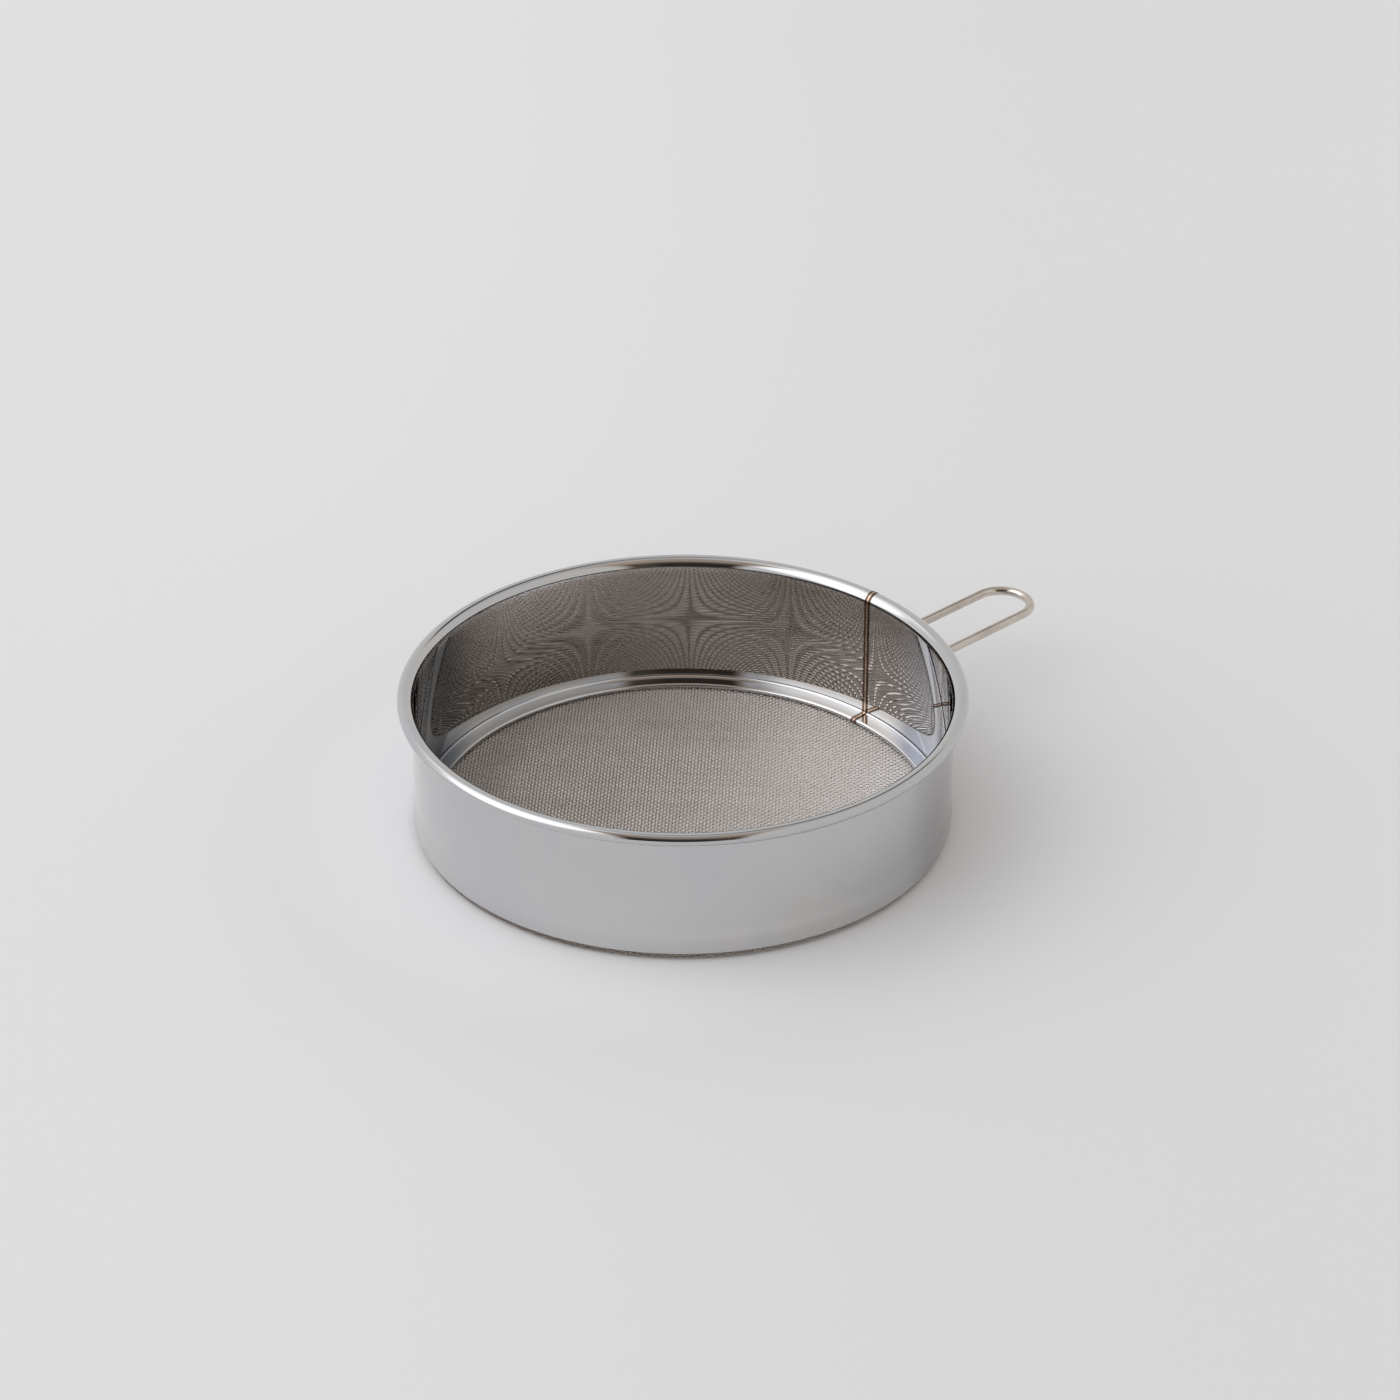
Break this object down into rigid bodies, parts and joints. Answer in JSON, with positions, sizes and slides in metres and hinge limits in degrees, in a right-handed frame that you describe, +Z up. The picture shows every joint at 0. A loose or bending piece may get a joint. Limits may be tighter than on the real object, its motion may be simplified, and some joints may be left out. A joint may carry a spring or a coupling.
{
  "type": "tamis drum sieve",
  "caption": "Flat round drum sieve: double-walled polished steel drum with a curled rim, a flanged floor of woven wire cloth, and a long wire loop handle on its side.",
  "frame": {"origin": "on the drum's axis, in the plane that the sieve stands on", "axes": "+Z up along the drum's axis, +X from the axis along the handle towards its tip, +Y completes a right-handed frame"},
  "size_m": [0.2909, 0.2104, 0.0547],
  "materials": {
    "drum_steel": "polished",
    "band_steel": "polished",
    "cloth_wire": "satin",
    "handle_wire": "gloss",
    "weld_metal": "satin"
  },
  "bodies": {
    "root": {"inner_drum": "drum_steel", "outer_band": "band_steel", "mesh_cloth": "cloth_wire", "mesh_hem": "cloth_wire", "handle_loop": "handle_wire", "handle_welds": "weld_metal", "drum_seam": "weld_metal", "band_seam": "weld_metal"}
  },
  "joints": []
}
